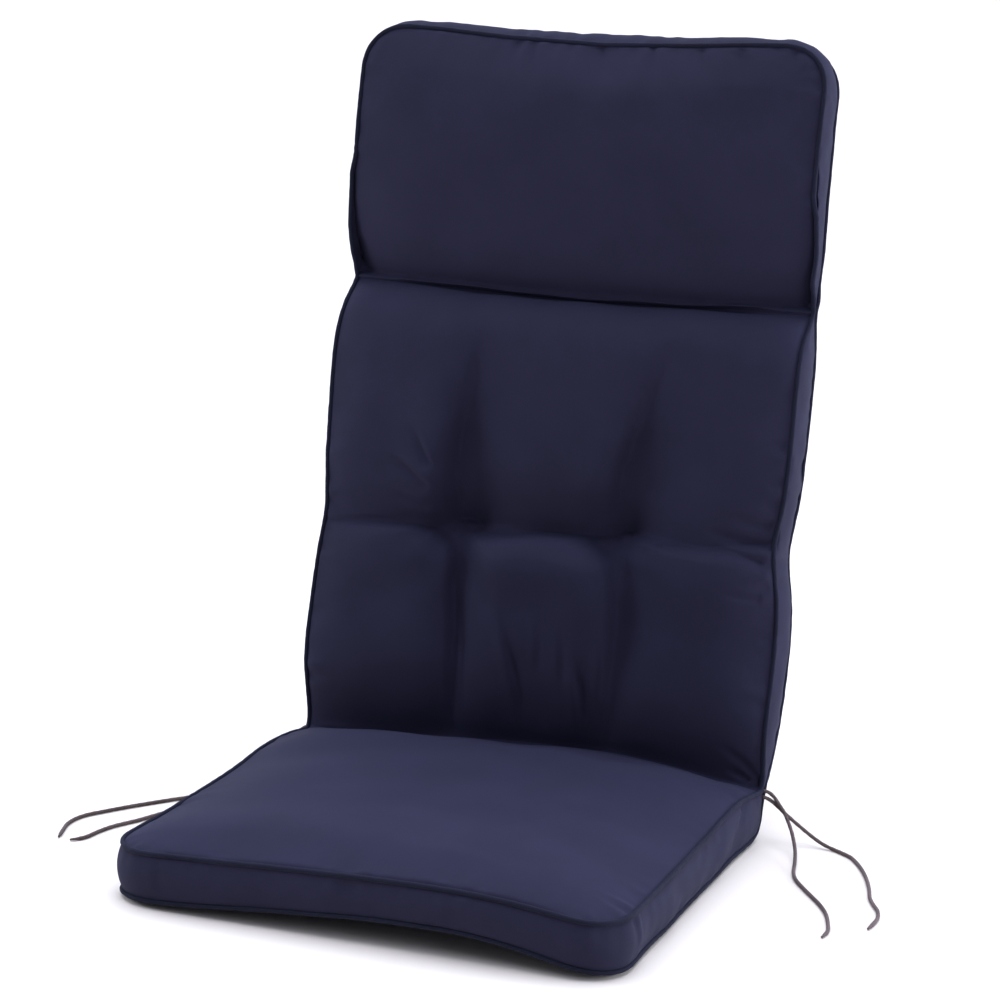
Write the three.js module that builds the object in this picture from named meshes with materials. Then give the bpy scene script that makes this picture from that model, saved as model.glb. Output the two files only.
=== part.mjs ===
// High back chair cushion: one filled, boxed pad in three stretches (seat, back and head)
// under one cover, with piping along both seams and a pair of tie ends at each side of the hinge.
// Millimetres. X runs across the cushion, Y from its front to its rear, Z up.
// It is worked out with the hinge between seat and back over y = 0 and the floor at z = 0,
// and then moved so that the origin is at the bottom centre of the padded pieces.

import * as THREE from 'three';

// Driving dimensions
const WIDTH = 500;
const SEAT_DEPTH = 450;
const BACK_LENGTH = 482;
const HEAD_LENGTH = 268;
const BOXING_HEIGHT = 53;
const PINCHED_HEIGHT = 10;
const LEAN = THREE.MathUtils.degToRad(9);
const CORNER_RADIUS = 45;
const TUFT_SPACING = 176;
const TUFT_UP_FROM_HINGE = 236;
const TUFT_ROW_SLANT = 0.055;
const PIPING_RADIUS = 2.4;
const SEAM_CHAMFER = 3;
const SEAM_OFF_FLOOR = 4.5;
const TIE_DIAMETER = 3.8;
const CLEARANCE = 0.5;

// Places along the cover, measured from the front edge of the seat
const HINGE = SEAT_DEPTH;
const CREASE = HINGE + BACK_LENGTH;
const TOP = CREASE + HEAD_LENGTH;
const TUFT_ROW = HINGE + TUFT_UP_FROM_HINGE;

// How finely the cover, the piping and the ties are divided
const CORNER_STEPS = 5;
const BOXING_STEPS = 4;
const PIPING_SIDES = 6;
const TIE_SIDES = 8;
const TIE_STEP = 2.6 * TIE_DIAMETER;
const TUFT_COLUMN = TUFT_SPACING / (WIDTH - 2 * SEAM_CHAMFER);
const HALF_COLUMNS = [0, 0.1, 0.2, 0.285, TUFT_COLUMN, 0.43, 0.53, 0.66, 0.79, 0.9, 0.965, 1];
const COLUMNS = [...HALF_COLUMNS.slice(1).reverse().map((share) => -share), ...HALF_COLUMNS];

// Colours
const CLOTH = { color: 0x1f2145, roughness: 0.9, metalness: 0 };
const PIPING_CLOTH = { color: 0x14152e, roughness: 0.9, metalness: 0 };
const BRAID = { color: 0x5c504c, roughness: 0.85, metalness: 0 };

// Directions in the side view, as Y and Z
const UP_THE_BACK = new THREE.Vector2(Math.sin(LEAN), Math.cos(LEAN));
const BEHIND_THE_BACK = new THREE.Vector2(Math.cos(LEAN), -Math.sin(LEAN));

const { clamp, lerp, smoothstep } = THREE.MathUtils;

// The two seams in side view. Seat rows give how far the upper seam lies in front of the hinge and
// its height, and the same of the lower seam. Back rows give how far up the back the seams lie,
// and how far the front one and the rear one lie behind the lean line.
function seatRow(ahead, height, aheadBelow, heightBelow) {
  return { at: HINGE - ahead, frontY: -ahead, frontZ: height, rearY: -aheadBelow, rearZ: heightBelow };
}

function backRow(up, front, rear, upBehind = up) {
  return {
    at: HINGE + up,
    frontY: up * UP_THE_BACK.x + front * BEHIND_THE_BACK.x,
    frontZ: BOXING_HEIGHT + up * UP_THE_BACK.y + front * BEHIND_THE_BACK.y,
    rearY: upBehind * UP_THE_BACK.x + rear * BEHIND_THE_BACK.x,
    rearZ: BOXING_HEIGHT + upBehind * UP_THE_BACK.y + rear * BEHIND_THE_BACK.y,
  };
}

const SEAMS = [
  seatRow(SEAT_DEPTH, BOXING_HEIGHT, SEAT_DEPTH, SEAM_OFF_FLOOR),
  seatRow(300, BOXING_HEIGHT, 300, SEAM_OFF_FLOOR),
  seatRow(150, BOXING_HEIGHT + 3, 150, SEAM_OFF_FLOOR),
  seatRow(90, BOXING_HEIGHT + 6, 80, SEAM_OFF_FLOOR),
  seatRow(45, BOXING_HEIGHT + 4, 24, SEAM_OFF_FLOOR),
  seatRow(20, BOXING_HEIGHT + 1, 0, 7),
  seatRow(9, BOXING_HEIGHT - 1, -5, 22),
  backRow(0, 1, 10, -12),
  backRow(9, 4, 16, 3),
  backRow(20, 3, 24, 14),
  backRow(40, -3, 38, 36),
  backRow(70, -7, 48),
  backRow(150, -4, 53),
  backRow(TUFT_UP_FROM_HINGE, -10, 50),
  backRow(330, -12, 48),
  backRow(420, -12, 50),
  backRow(450, -3, 50, 445),
  backRow(470, 17, 40, 466),
  backRow(BACK_LENGTH, 26, 26 + PINCHED_HEIGHT),
  backRow(BACK_LENGTH + 14, 21, 40, BACK_LENGTH + 16),
  backRow(BACK_LENGTH + 32, 8, 52, BACK_LENGTH + 34),
  backRow(BACK_LENGTH + 60, -1, 54),
  backRow(BACK_LENGTH + 150, -2, 53),
  backRow(BACK_LENGTH + HEAD_LENGTH, 2, 52),
];

// How far each side stands out past half the width, and how far its boxing bulges. It is the same
// on both sides, and flat, where the ties come out.
const OUT_AT_TIES = 1;
const SIDES = [
  { at: 0, left: 4, right: -1, bulge: 5 },
  { at: HINGE - 200, left: 1, right: -3, bulge: 5 },
  { at: HINGE - 65, left: 6, right: -2, bulge: 5 },
  { at: HINGE - 14, left: OUT_AT_TIES, right: OUT_AT_TIES, bulge: 0 },
  { at: HINGE, left: OUT_AT_TIES, right: OUT_AT_TIES, bulge: 0 },
  { at: HINGE + 14, left: OUT_AT_TIES, right: OUT_AT_TIES, bulge: 0 },
  { at: HINGE + 90, left: 8, right: 3, bulge: 5 },
  { at: TUFT_ROW - 60, left: 4, right: 2, bulge: 5 },
  { at: TUFT_ROW, left: -3, right: -6, bulge: 4 },
  { at: TUFT_ROW + 60, left: 0, right: 1, bulge: 3 },
  { at: CREASE - 60, left: 2, right: 3, bulge: 3 },
  { at: CREASE, left: 0, right: 2, bulge: 0 },
  { at: CREASE + 50, left: 7, right: 1, bulge: 2 },
  { at: TOP - 80, left: 3, right: -1, bulge: 1 },
  { at: TOP, left: 2, right: 1, bulge: 2 },
];

// The stretches of each panel between its sewn lines, and how high their crowns are. The rear
// panel goes round the hinge in one.
const STRETCHES = {
  front: [
    { from: SEAM_CHAMFER, to: HINGE, crown: 26 },
    { from: HINGE, to: CREASE, crown: 26 },
    { from: CREASE, to: TOP - SEAM_CHAMFER, crown: 24 },
  ],
  rear: [
    { from: SEAM_CHAMFER, to: CREASE, crown: 12 },
    { from: CREASE, to: TOP - SEAM_CHAMFER, crown: 14 },
  ],
};

// The back's filling sinks to the floor behind the seat, in a heel that fades towards the sides
const HEEL = { back: 22, down: 24, ahead: 2, length: 20, sideFade: 0.4 };

const DOME = { flatness: 3, steepness: 0.55 };
const ARC_SHARPNESS = 1.5;

// The tufts, the valleys that run through them, and the full tongue of cloth under them
const TUFT = { depth: 20, width: 17 };
const CROSS_VALLEY = { depth: 8, width: 18 };
const UPRIGHT_VALLEY = { depth: 11, below: 15, above: 46 };
const TONGUE = { height: 8, halfWidth: 78, sideFade: 14, start: 4, drop: 26, length: 170 };
const REAR_SHARE = 0.5;

// Beside the crease the filling stands close up to the seam and leans towards it, away from
// the sides
const CREASE_FILL = { front: 24, rear: 12, near: 11, far: 44, lean: 1.7 };

// How edges arch and sag. The seat's arch is highest a little right of its middle.
const FRONT_ARCH = { front: 12, rear: 22, length: 190 };
const HINGE_RISE = { height: 16, length: 26 };
const ARCH_PEAK = 90;
const CREASE_SAG = { depth: 6, length: 40 };
const TOP_SAG = { front: 10, rear: 2, length: 60 };
const END_BULGE = { seat: 4, head: 9 };

// How a panel turns from lying to standing, as distances from the hinge: the front one about it,
// and the rear one just before it, past the field that the cushion rests on
const TURN = { front: { from: -14, to: 14 }, rear: { from: -28, to: -10 } };

// A smooth curve through one column of a table
function curveThrough(rows, name) {
  const last = rows.length - 1;
  const slopes = rows.map((_, i) => {
    const [before, after] = [rows[Math.max(i - 1, 0)], rows[Math.min(i + 1, last)]];
    return (after[name] - before[name]) / (after.at - before.at);
  });
  return (at) => {
    const from = clamp(rows.findLastIndex((row) => row.at <= at), 0, last - 1);
    const [here, next] = [rows[from], rows[from + 1]];
    const span = next.at - here.at;
    const rise = next[name] - here[name];
    const t = clamp((at - here.at) / span, 0, 1);
    const bend = (t - 1) * (slopes[from] * span - rise) + t * (slopes[from + 1] * span - rise);
    return here[name] + rise * t + t * (t - 1) * bend;
  };
}

const seam = {
  front: { y: curveThrough(SEAMS, 'frontY'), z: curveThrough(SEAMS, 'frontZ') },
  rear: { y: curveThrough(SEAMS, 'rearY'), z: curveThrough(SEAMS, 'rearZ') },
};
const standOut = { left: curveThrough(SIDES, 'left'), right: curveThrough(SIDES, 'right') };
const sideBulge = curveThrough(SIDES, 'bulge');

// A filled shape's rise over its seam, at a share of the way from its middle to the seam. It is
// flat over most of its width and steep near the seam.
function dome(share) {
  return (1 - Math.min(Math.abs(share), 1) ** DOME.flatness) ** DOME.steepness;
}

// A soft arc over the width, highest at its peak and nought at the sides
function arc(x, peak = 0) {
  const reach = WIDTH / 2 + (x > peak ? -peak : peak);
  return Math.cos((Math.PI / 2) * clamp((x - peak) / reach, -1, 1)) ** ARC_SHARPNESS;
}

// A sharp valley and a soft one, whole at nought and fading with the distance
function fold(distance, width) {
  return Math.exp(-Math.abs(distance) / width);
}

function bell(distance, width) {
  return Math.exp(-((distance / width) ** 2));
}

// Stations along the cover, close together at the hinge, the tufts and the crease. In the rounded
// corners the angle is short of a right one, and end tells the seat's end (1) from the head's (-1).
function stationsAlong() {
  const side = Math.PI / 2;
  const corner = (end) => Array.from({ length: CORNER_STEPS + 1 }, (_, i) => {
    const angle = (i / CORNER_STEPS) * side;
    const inward = CORNER_RADIUS * (1 - Math.cos(angle));
    return { at: end > 0 ? inward : TOP - inward, angle, end };
  });
  const between = (from, to, count) => Array.from({ length: count - 1 }, (_, i) => {
    const share = (1 - Math.cos((Math.PI * (i + 1)) / count)) / 2;
    return { at: lerp(from, to, share), angle: side, end: 0 };
  });
  const mark = (at) => ({ at, angle: side, end: 0 });
  return [
    ...corner(1), ...between(CORNER_RADIUS, HINGE, 16), mark(HINGE),
    ...between(HINGE, TUFT_ROW, 14), mark(TUFT_ROW), ...between(TUFT_ROW, CREASE, 13), mark(CREASE),
    ...between(CREASE, TOP - CORNER_RADIUS, 11), ...corner(-1).reverse(),
  ];
}

// The cover's outline laid flat: where a station's seam lies across and along it, inset by so much
function outline(station, side, inset) {
  const radius = CORNER_RADIUS - inset;
  const out = (side < 0 ? standOut.left : standOut.right)(station.at);
  const across = WIDTH / 2 - CORNER_RADIUS + (radius + out) * Math.sin(station.angle);
  const inward = CORNER_RADIUS - radius * Math.cos(station.angle);
  const atEnd = station.end > 0 ? inward : TOP - inward;
  return { x: side * across, at: station.end === 0 ? station.at : atEnd };
}

// The way a panel faces, in the side view: the seat's panels up and down, the back's forward
// and backward, with the change at the hinge, and both tilted towards the crease beside it
function facing(panel, at) {
  const turn = smoothstep(at - HINGE, TURN[panel].from, TURN[panel].to);
  const way = new THREE.Vector2(0, 1).lerp(BEHIND_THE_BACK.clone().negate(), turn).normalize();
  const off = (at - CREASE) / CREASE_FILL.far;
  const lean = UP_THE_BACK.clone().multiplyScalar(-CREASE_FILL.lean * off * bell(off, 1));
  way.multiplyScalar(panel === 'front' ? 1 : -1).add(lean);
  return new THREE.Vector3(0, way.x, way.y).normalize();
}

// A place on the seam line, or as far across as x on the sheet that spans the two seam lines
function onSeamSheet(panel, at, x) {
  const point = new THREE.Vector3(x, seam[panel].y(at), seam[panel].z(at));
  const atFront = 1 - smoothstep(at, 0, FRONT_ARCH.length);
  const pastHinge = panel === 'rear' && at < HINGE ? 4 * (at - HINGE) : at - HINGE;
  const atTop = smoothstep(at, TOP - TOP_SAG.length, TOP);
  point.z += FRONT_ARCH[panel] * arc(x, ARCH_PEAK) * atFront;
  point.z += HINGE_RISE.height * arc(x, ARCH_PEAK) * bell(pastHinge, HINGE_RISE.length);
  point.z -= CREASE_SAG.depth * arc(x) * bell(at - CREASE, CREASE_SAG.length);
  point.z -= TOP_SAG[panel] * arc(x) * atTop;
  return point;
}

function crownHeight(panel, at, share) {
  const { from, to, crown } = STRETCHES[panel].find((one) => at <= one.to) ?? STRETCHES[panel].at(-1);
  return crown * dome((2 * (at - from)) / (to - from) - 1) * dome(share);
}

function heel(at, share) {
  const fade = smoothstep(1 - Math.abs(share), 0, HEEL.sideFade);
  const fullness = bell(at - HINGE + HEEL.ahead, HEEL.length) * fade;
  return new THREE.Vector3(0, HEEL.back, -HEEL.down).multiplyScalar(fullness);
}

// How far up from the row of tufts a place lies; the row is higher at the right than at the left
function overTufts(at, x) {
  return at - TUFT_ROW - TUFT_ROW_SLANT * x;
}

// How deep the tufts and valleys of the lower back lie under its crown
function sewnDepth(at, x) {
  const beside = Math.min(Math.abs(x - TUFT_SPACING / 2), Math.abs(x + TUFT_SPACING / 2));
  const up = overTufts(at, x);
  const openness = smoothstep(up, -10, CREASE - TUFT_ROW);
  const tuft = TUFT.depth * bell(Math.hypot(beside, up), TUFT.width);
  const cross = CROSS_VALLEY.depth * fold(up, CROSS_VALLEY.width);
  const width = lerp(UPRIGHT_VALLEY.below, UPRIGHT_VALLEY.above, openness);
  const upright = UPRIGHT_VALLEY.depth * fold(beside, width) * (1 - openness);
  return (tuft + cross + upright) * dome((2 * (at - HINGE)) / BACK_LENGTH - 1);
}

function tongueHeight(at, x) {
  const down = -overTufts(at, x);
  const inside = smoothstep(TONGUE.halfWidth - Math.abs(x), 0, TONGUE.sideFade);
  const fade = 1 - smoothstep(down, TONGUE.length / 2, TONGUE.length);
  return TONGUE.height * inside * smoothstep(down, TONGUE.start, TONGUE.drop) * fade;
}

function creaseFill(panel, at, share) {
  const off = Math.abs(at - CREASE);
  const shape = (1 - bell(off, CREASE_FILL.near)) * bell(off, CREASE_FILL.far);
  return CREASE_FILL[panel] * dome(share) * shape;
}

// A place on the front or the rear panel. The underside is pressed flat where it meets the floor.
function onPanel(panel, at, x, share) {
  const front = panel === 'front';
  const sewn = sewnDepth(at, x) * (front ? dome(share) ** 0.5 : REAR_SHARE * dome(share));
  const extra = creaseFill(panel, at, share) + (front ? tongueHeight(at, x) : 0);
  const height = crownHeight(panel, at, share) - sewn + extra;
  const point = onSeamSheet(panel, at, x).addScaledVector(facing(panel, at), height);
  if (!front) point.add(heel(at, share));
  point.z = Math.max(point.z, 0);
  return point;
}

// A place on the boxing, at a share of its height from the front seam to the rear one
function onBoxing(station, side, x, share) {
  const { at } = outline(station, side, 0);
  const [front, rear] = [onSeamSheet('front', at, x), onSeamSheet('rear', at, x)];
  const trim = SEAM_CHAMFER / front.distanceTo(rear);
  const fullness = Math.sin(Math.PI * share);
  const way = station.end > 0 ? new THREE.Vector2(-1, 0) : UP_THE_BACK;
  const endBulge = (station.end > 0 ? END_BULGE.seat : END_BULGE.head) * Math.cos(station.angle);
  const bulge = new THREE.Vector3(
    side * sideBulge(at) * Math.sin(station.angle),
    endBulge * way.x,
    endBulge * way.y,
  );
  return front.lerp(rear, lerp(trim, 1 - trim, share)).addScaledVector(bulge, fullness);
}

// The pad's vertices, as rows over its two panels, its two long boxings and its two ends
function padRows() {
  const stations = stationsAlong();
  const heights = Array.from({ length: BOXING_STEPS + 1 }, (_, i) => i / BOXING_STEPS);
  const sideOf = (share) => Math.sign(share) || 1;
  const panelRow = (panel, station) => COLUMNS.map((share) => {
    const edge = outline(station, sideOf(share), SEAM_CHAMFER);
    return onPanel(panel, edge.at, Math.abs(share) * edge.x, share);
  });
  const boxingRow = (station, side) => {
    const { x } = outline(station, side, 0);
    return heights.map((height) => onBoxing(station, side, x, height));
  };
  const endRows = (station) => heights.map((height) => COLUMNS.slice(1, -1).map((share) => {
    const { x } = outline(station, sideOf(share), 0);
    return onBoxing(station, sideOf(share), Math.abs(share) * x, height);
  }));
  return {
    front: stations.map((station) => panelRow('front', station)),
    rear: stations.map((station) => panelRow('rear', station)),
    left: stations.map((station) => boxingRow(station, -1)),
    right: stations.map((station) => boxingRow(station, 1)),
    seatEnd: endRows(stations[0]),
    headEnd: endRows(stations.at(-1)),
  };
}

// A closed shape whose faces join neighbouring rows of points, each quad cut along its shorter diagonal
class Skin {
  points = [];
  faces = [];

  number(row) {
    return row.map((point) => this.points.push(point) - 1);
  }

  join(near, far) {
    near.slice(1).forEach((next, i) => this.quad(near[i], next, far[i + 1], far[i]));
  }

  quad(a, b, c, d) {
    const across = this.points[a].distanceTo(this.points[c]);
    const down = this.points[b].distanceTo(this.points[d]);
    this.faces.push(...(across < down ? [a, b, c, a, c, d] : [a, b, d, b, c, d]));
  }

  geometry() {
    const geometry = new THREE.BufferGeometry().setFromPoints(this.points).setIndex(this.faces);
    geometry.computeVertexNormals();
    return geometry;
  }
}

function padGeometry(rows) {
  const skin = new Skin();
  const numbered = (list) => list.map((row) => skin.number(row));
  const [front, rear] = [numbered(rows.front), numbered(rows.rear)];
  const [left, right] = [numbered(rows.left), numbered(rows.right)];
  const [seatEnd, headEnd] = [numbered(rows.seatEnd), numbered(rows.headEnd)];
  const rings = front.map((row, i) => {
    const ring = [...row, ...right[i], ...rear[i].toReversed(), ...left[i].toReversed()];
    return [...ring, ring[0]];
  });
  const endStrips = (i, between) => {
    const inner = between.map((row, height) => [left.at(i)[height], ...row, right.at(i)[height]]);
    return [front.at(i), ...inner, rear.at(i)];
  };
  const pairs = (list) => list.slice(1).map((next, i) => [list[i], next]);
  pairs(rings).forEach(([near, far]) => skin.join(near, far));
  pairs(endStrips(0, seatEnd)).forEach(([near, far]) => skin.join(far, near));
  pairs(endStrips(-1, headEnd)).forEach(([near, far]) => skin.join(near, far));
  return skin.geometry();
}

// The seam round a panel, as pairs of points on both sides of its chamfer, in one closed loop
function seamRound(panel, rows) {
  const height = panel === 'front' ? 0 : BOXING_STEPS;
  const up = (side, column) => rows[side].map((row, i) => (
    { inner: rows[panel][i].at(column), outer: row[height] }
  ));
  const over = (end, i) => rows[end][height].map((outer, j) => (
    { inner: rows[panel].at(i)[j + 1], outer }
  ));
  const loop = [
    ...up('right', -1), ...over('headEnd', -1).reverse(),
    ...up('left', 0).reverse(), ...over('seatEnd', 0),
  ];
  return panel === 'front' ? loop : loop.reverse();
}

// A cord of piping that lies along a seam's chamfer, a small gap off it
function pipingGeometry(loop) {
  const skin = new Skin();
  const middles = loop.map(({ inner, outer }) => inner.clone().add(outer).divideScalar(2));
  const off = PIPING_RADIUS * Math.cos(Math.PI / PIPING_SIDES) + CLEARANCE;
  const rings = loop.map(({ inner, outer }, i) => {
    const along = middles[(i + 1) % loop.length].clone().sub(middles.at(i - 1)).normalize();
    const across = outer.clone().sub(inner);
    across.addScaledVector(along, -across.dot(along)).normalize();
    const outward = across.clone().cross(along);
    const centre = middles[i].clone().addScaledVector(outward, off);
    return skin.number(Array.from({ length: PIPING_SIDES }, (_, side) => {
      const angle = ((side + 0.5) / PIPING_SIDES) * 2 * Math.PI;
      return centre.clone()
        .addScaledVector(outward, PIPING_RADIUS * Math.cos(angle))
        .addScaledVector(across, PIPING_RADIUS * Math.sin(angle));
    }));
  });
  rings.forEach((ring, i) => {
    const next = rings[(i + 1) % rings.length];
    skin.join([...ring, ring[0]], [...next, next[0]]);
  });
  return skin.geometry();
}

// The tie ends: each leaves the boxing at the end of the hinge, drops to the floor and lies there.
// The two of a side are one cord, caught in the seam at its middle.
const TIE_EXIT = WIDTH / 2 + OUT_AT_TIES + CLEARANCE;
const LYING = TIE_DIAMETER / 2 + 0.1;
const TIES = {
  tie_right_a: [
    [TIE_EXIT, 7.5, 50.5], [TIE_EXIT + 3, 7.5, 50.4], [258, 7.8, 49.2], [262.8, 7.5, 45.8],
    [267, 6.2, 41.5], [271.5, 4, 37], [277, 0.6, 31.8], [283.2, -6, 24.5], [290.4, -17.4, 17],
    [299, -38.5, 9.8], [305, -60, 5], [311, -87, 2.3], [318.7, -106.6, LYING], [331, -126.4, LYING],
    [345, -147, LYING], [358, -166.6, LYING], [370, -190, LYING], [378.8, -217, LYING],
    [382.6, -234, LYING], [381.7, -251, LYING],
  ],
  tie_right_b: [
    [TIE_EXIT, 5, 44.8], [TIE_EXIT + 3, 5, 44.6], [258, 6.2, 43], [262.5, 7.4, 40], [267.5, 8.2, 35.8],
    [273.8, 9, 30.5], [284, 9, 23], [300, 8, 12.6], [313.6, 4.8, 6], [323.8, 2.2, 3],
    [331, -0.5, LYING], [341, -7.5, LYING], [352.2, -17.5, LYING], [367, -42, LYING],
    [379.4, -70, LYING], [389, -98, LYING], [396.7, -126, LYING], [404, -143, LYING],
    [412.3, -160, LYING], [416.8, -182, LYING], [415.3, -211, LYING],
  ],
  tie_left_a: [
    [-TIE_EXIT, 7.5, 50.5], [-TIE_EXIT - 3, 7.4, 50.3], [-258, 5.8, 48.6], [-263, 2, 44.5],
    [-269, -6, 37], [-276, -18, 28], [-284, -36, 18.5], [-294, -60, 10], [-304, -86, 4.5],
    [-313, -110, 2.3], [-323, -134, LYING], [-334, -149, LYING], [-344, -163, LYING],
    [-362, -189, LYING], [-379, -217, LYING], [-388, -233, LYING], [-392.2, -250, LYING],
    [-391.5, -268, LYING], [-387, -284, LYING], [-380, -306, LYING],
  ],
  tie_left_b: [
    [-TIE_EXIT, 5, 44.8], [-TIE_EXIT - 3, 4.9, 44.6], [-258, 2.6, 42.6], [-262.5, -2, 38.5],
    [-267, -12, 32], [-272, -28, 24], [-278, -50, 15.5], [-285, -76, 8.5], [-292.5, -104, 3.8],
    [-300, -130, 2.3], [-309, -158, LYING], [-316, -177, LYING], [-321.6, -191, LYING],
    [-333, -223, LYING], [-341, -240, LYING], [-348, -256, LYING], [-352.5, -275, LYING],
    [-355, -294, LYING], [-359, -303, LYING], [-365, -310, LYING],
  ],
};

function tieGeometry(route) {
  const path = new THREE.CatmullRomCurve3(route.map((point) => new THREE.Vector3(...point)));
  const section = new THREE.Shape(
    Array.from({ length: TIE_SIDES }, (_, side) => {
      const angle = ((side + 0.5) / TIE_SIDES) * 2 * Math.PI;
      return new THREE.Vector2(Math.cos(angle), Math.sin(angle)).multiplyScalar(TIE_DIAMETER / 2);
    }),
  );
  const steps = Math.round(path.getLength() / TIE_STEP);
  return new THREE.ExtrudeGeometry(section, { extrudePath: path, steps });
}

function mesh(name, geometry, look) {
  const piece = new THREE.Mesh(geometry, new THREE.MeshStandardMaterial(look));
  piece.name = name;
  return piece;
}

const rows = padRows();
const padded = [
  mesh('cushion', padGeometry(rows), CLOTH),
  mesh('piping_front', pipingGeometry(seamRound('front', rows)), PIPING_CLOTH),
  mesh('piping_rear', pipingGeometry(seamRound('rear', rows)), PIPING_CLOTH),
];
const ties = Object.entries(TIES).map(([name, route]) => mesh(name, tieGeometry(route), BRAID));

const cushion = new THREE.Group();
cushion.add(...padded, ...ties);
const extent = new THREE.Box3();
padded.forEach((piece) => extent.expandByObject(piece));
const middle = extent.getCenter(new THREE.Vector3());
cushion.position.set(-middle.x, -middle.y, -extent.min.z);

export default cushion;
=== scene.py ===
"""High back chair cushion: its navy cover, sewn tufts, piping and tie ends, in a plain studio.

Metres, with +X to the right seen from the front, +Y from the front to the rear and +Z up. The
cushion stands on its seat on the floor at z = 0.
"""

import logging
import math
from dataclasses import dataclass
from enum import Enum

import bpy
import numpy as np
from mathutils import Matrix, Vector
from mathutils.bvhtree import BVHTree
from mathutils.kdtree import KDTree


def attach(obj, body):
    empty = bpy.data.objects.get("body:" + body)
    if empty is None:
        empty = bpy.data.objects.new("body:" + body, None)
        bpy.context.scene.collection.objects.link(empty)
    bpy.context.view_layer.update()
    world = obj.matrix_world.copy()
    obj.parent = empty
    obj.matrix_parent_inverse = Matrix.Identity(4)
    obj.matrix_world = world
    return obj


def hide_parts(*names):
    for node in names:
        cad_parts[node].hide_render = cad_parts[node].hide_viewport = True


log = logging.getLogger("cushion")
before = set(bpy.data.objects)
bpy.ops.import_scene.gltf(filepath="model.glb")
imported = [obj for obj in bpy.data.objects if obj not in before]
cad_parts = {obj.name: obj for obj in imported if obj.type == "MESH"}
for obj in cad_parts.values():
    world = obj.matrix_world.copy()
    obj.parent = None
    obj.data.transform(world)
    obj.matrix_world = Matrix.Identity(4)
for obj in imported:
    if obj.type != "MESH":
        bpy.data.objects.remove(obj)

MM = 0.001
PHOTO_PIXELS = 1000
BODY = "root"
PIPING_RADIUS = 2.4 * MM
SEAM_STEP = 1.5 * MM
WAVE_SEED, GATHER_SEED, BUNCH_SEED, PIPING_SEED = 7, 20, 30, 5
SIDEWAYS = 0.7


class Slot(Enum):
    """The record's material slots."""

    COVER = "cover"
    PIPING = "piping"
    BRAID = "braid"


class Panel(Enum):
    """A face of the cover that folds are placed on, as the two axes of their places and its outward way."""

    BACK = ((0, 2), (0, -0.9877, 0.1564))
    SEAT = ((0, 1), (0, 0, 1))
    SIDE = ((1, 2), (1, 0, 0))

    @property
    def axes(self) -> tuple[int, int]:
        """The two axes of the places on it."""
        return self.value[0]

    @property
    def outward(self) -> np.ndarray:
        """The direction that it faces."""
        return np.array(self.value[1])


def select_only(piece: bpy.types.Object) -> None:
    """Makes a piece the only selected and the active object.

    Args:
        piece: The object to select.
    """
    for other in bpy.context.selected_objects:
        other.select_set(False)
    piece.select_set(True)
    bpy.context.view_layer.objects.active = piece


def vectors_of(rows: bpy.types.bpy_prop_collection, name: str) -> np.ndarray:
    """Reads a vector from each vertex or face of a mesh.

    Args:
        rows: The mesh's vertices or polygons.
        name: The vector's name in them.

    Returns:
        The vectors, one row each.
    """
    flat = np.empty(len(rows) * 3)
    rows.foreach_get(name, flat)
    return flat.reshape(-1, 3)


def points_of(piece: bpy.types.Object) -> np.ndarray:
    """A mesh's vertices, one row each."""
    return vectors_of(piece.data.vertices, "co")


def normals_of(piece: bpy.types.Object) -> np.ndarray:
    """The normals at a mesh's vertices, one row each."""
    return vectors_of(piece.data.vertices, "normal")


def put_points(piece: bpy.types.Object, points: np.ndarray) -> None:
    """Writes a mesh's vertices.

    Args:
        piece: A mesh object.
        points: Its new vertices, one row each.
    """
    piece.data.vertices.foreach_set("co", points.astype(np.float32).ravel())
    piece.data.update()


def apply_modifier(piece: bpy.types.Object, kind: str, **settings: object) -> None:
    """Adds a modifier and applies it.

    Args:
        piece: A mesh object.
        kind: The modifier's type.
        settings: Its settings by name.
    """
    select_only(piece)
    modifier = piece.modifiers.new(kind.title(), kind)
    for name, value in settings.items():
        setattr(modifier, name, value)
    bpy.ops.object.modifier_apply(modifier=modifier.name)


def add_object(name: str, data: bpy.types.ID) -> bpy.types.Object:
    """Adds an object to the scene.

    Args:
        name: The object's name.
        data: Its mesh, curve, light or camera.

    Returns:
        The new object.
    """
    added = bpy.data.objects.new(name, data)
    bpy.context.scene.collection.objects.link(added)
    return added


def copy_of_node(node: str, name: str) -> bpy.types.Object:
    """Copies a CAD node's mesh into a new piece, with its points joined and its quads back.

    Args:
        node: The node's name.
        name: The new piece's name.

    Returns:
        The new piece.
    """
    piece = add_object(name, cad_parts[node].data.copy())
    piece.data.name = name
    piece.data.materials.clear()
    select_only(piece)
    bpy.ops.object.mode_set(mode="EDIT")
    bpy.ops.mesh.select_all(action="SELECT")
    bpy.ops.mesh.remove_doubles(threshold=0.01 * MM)
    bpy.ops.mesh.select_all(action="SELECT")
    bpy.ops.mesh.tris_convert_to_quads(
        face_threshold=math.pi, shape_threshold=math.pi, topology_influence=2.0
    )
    bpy.ops.object.mode_set(mode="OBJECT")
    return piece


def new_piece(name: str, points: np.ndarray, faces: list[list[int]]) -> bpy.types.Object:
    """Makes a mesh object.

    Args:
        name: The piece's name.
        points: Its vertices, one row each.
        faces: The vertex numbers of each face.

    Returns:
        The new piece, smooth shaded.
    """
    mesh = bpy.data.meshes.new(name)
    mesh.from_pydata(points.tolist(), [], faces)
    mesh.update()
    piece = add_object(name, mesh)
    select_only(piece)
    bpy.ops.object.shade_smooth()
    return piece


def bell(distance: np.ndarray, width: float) -> np.ndarray:
    """A soft rise, whole at nought, that fades over a width."""
    return np.exp(-((distance / width) ** 2))


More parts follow.
